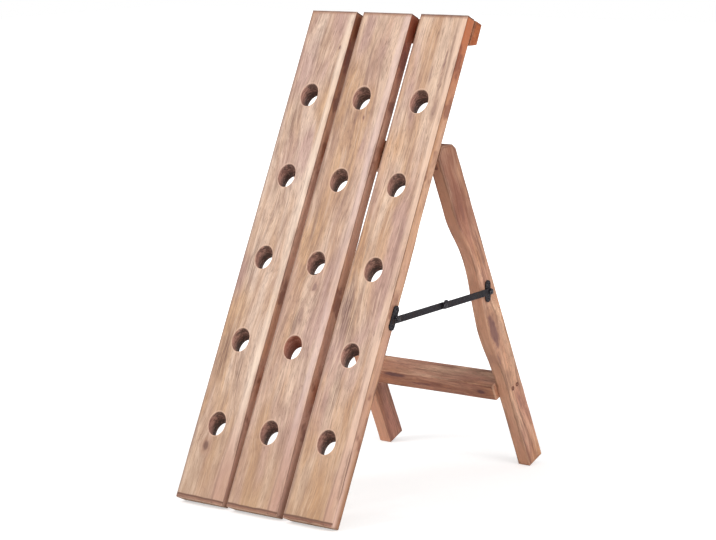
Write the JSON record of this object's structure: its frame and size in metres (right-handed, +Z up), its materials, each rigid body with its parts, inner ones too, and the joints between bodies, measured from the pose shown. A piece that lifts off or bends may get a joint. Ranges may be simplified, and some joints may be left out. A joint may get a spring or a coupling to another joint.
{
  "type": "folding wine rack",
  "caption": "Folding A-frame wine rack: leaning wooden boards with round holes for bottle necks, propped by a hinged rear leg frame with folding side stays.",
  "frame": {"origin": "on the floor, under the middle of the open rack's box", "axes": "+Z up, +X to the right seen from the front, the boards' fronts face -Y and up"},
  "size_m": [0.3208, 0.524, 0.7189],
  "materials": {
    "board_wood": "worn stain, satin",
    "frame_wood": "dark worn stain, satin",
    "dark_iron": "dark, half matte"
  },
  "bodies": {
    "rack": {"board_left": "board_wood", "board_middle": "board_wood", "board_right": "board_wood", "hinge_board_leaf_left": "dark_iron", "hinge_board_leaf_right": "dark_iron", "hinge_pin_left": "dark_iron", "hinge_pin_right": "dark_iron", "hinge_rail": "frame_wood", "hinge_rail_screw_left_lower": "dark_iron", "hinge_rail_screw_left_upper": "dark_iron", "hinge_rail_screw_middle_lower": "dark_iron", "hinge_rail_screw_middle_upper": "dark_iron", "hinge_rail_screw_right_lower": "dark_iron", "hinge_rail_screw_right_upper": "dark_iron", "lower_rail": "frame_wood", "lower_rail_screw_left": "dark_iron", "lower_rail_screw_middle": "dark_iron", "lower_rail_screw_right": "dark_iron", "stay_board_plate_left": "dark_iron", "stay_board_plate_right": "dark_iron", "stay_board_plate_screw_left_lower": "dark_iron", "stay_board_plate_screw_left_upper": "dark_iron", "stay_board_plate_screw_right_lower": "dark_iron", "stay_board_plate_screw_right_upper": "dark_iron", "stay_board_rivet_left": "dark_iron", "stay_board_rivet_right": "dark_iron", "top_cleat": "frame_wood", "top_cleat_screw_left": "dark_iron", "top_cleat_screw_middle": "dark_iron", "top_cleat_screw_right": "dark_iron"},
    "leg_frame": {"hinge_leg_leaf_left": "dark_iron", "hinge_leg_leaf_right": "dark_iron", "leg_left": "frame_wood", "leg_right": "frame_wood", "leg_stretcher": "frame_wood", "stay_leg_plate_left": "dark_iron", "stay_leg_plate_right": "dark_iron", "stay_leg_plate_screw_left_lower": "dark_iron", "stay_leg_plate_screw_left_upper": "dark_iron", "stay_leg_plate_screw_right_lower": "dark_iron", "stay_leg_plate_screw_right_upper": "dark_iron", "stay_leg_rivet_left": "dark_iron", "stay_leg_rivet_right": "dark_iron", "stretcher_screw_left_back": "dark_iron", "stretcher_screw_left_front": "dark_iron", "stretcher_screw_right_back": "dark_iron", "stretcher_screw_right_front": "dark_iron"},
    "stay_front_arm_left": {"stay_front_arm_left": "dark_iron"},
    "stay_front_arm_right": {"stay_front_arm_right": "dark_iron"},
    "stay_rear_arm_left": {"stay_middle_rivet_left": "dark_iron", "stay_rear_arm_left": "dark_iron"},
    "stay_rear_arm_right": {"stay_middle_rivet_right": "dark_iron", "stay_rear_arm_right": "dark_iron"}
  },
  "joints": [
    {"name": "leg_fold", "type": "hinge", "parent": "rack", "child": "leg_frame", "pos_m": [0, 0.00444, 0.50449], "axis": [-1, 0, 0], "range_deg": [0, 48.65]},
    {"name": "stay_front_fold_left", "type": "hinge", "parent": "rack", "child": "stay_front_arm_left", "pos_m": [-0.15175, -0.10397, 0.28732], "axis": [1, 0, 0], "range_deg": [0, 74.85]},
    {"name": "stay_rear_fold_left", "type": "hinge", "parent": "leg_frame", "child": "stay_rear_arm_left", "pos_m": [-0.15175, 0.12089, 0.2964], "axis": [-1, 0, 0], "range_deg": [0, 41.42]},
    {"name": "stay_front_fold_right", "type": "hinge", "parent": "rack", "child": "stay_front_arm_right", "pos_m": [0.15175, -0.10397, 0.28732], "axis": [1, 0, 0], "range_deg": [0, 74.85]},
    {"name": "stay_rear_fold_right", "type": "hinge", "parent": "leg_frame", "child": "stay_rear_arm_right", "pos_m": [0.15175, 0.12089, 0.2964], "axis": [-1, 0, 0], "range_deg": [0, 41.42]}
  ],
  "couplings": [
    {"joint": "stay_front_fold_left", "follows": "leg_fold", "ratio": 1.5374},
    {"joint": "stay_rear_fold_left", "follows": "leg_fold", "ratio": 0.85041},
    {"joint": "stay_front_fold_right", "follows": "leg_fold", "ratio": 1.5374},
    {"joint": "stay_rear_fold_right", "follows": "leg_fold", "ratio": 0.85041}
  ]
}
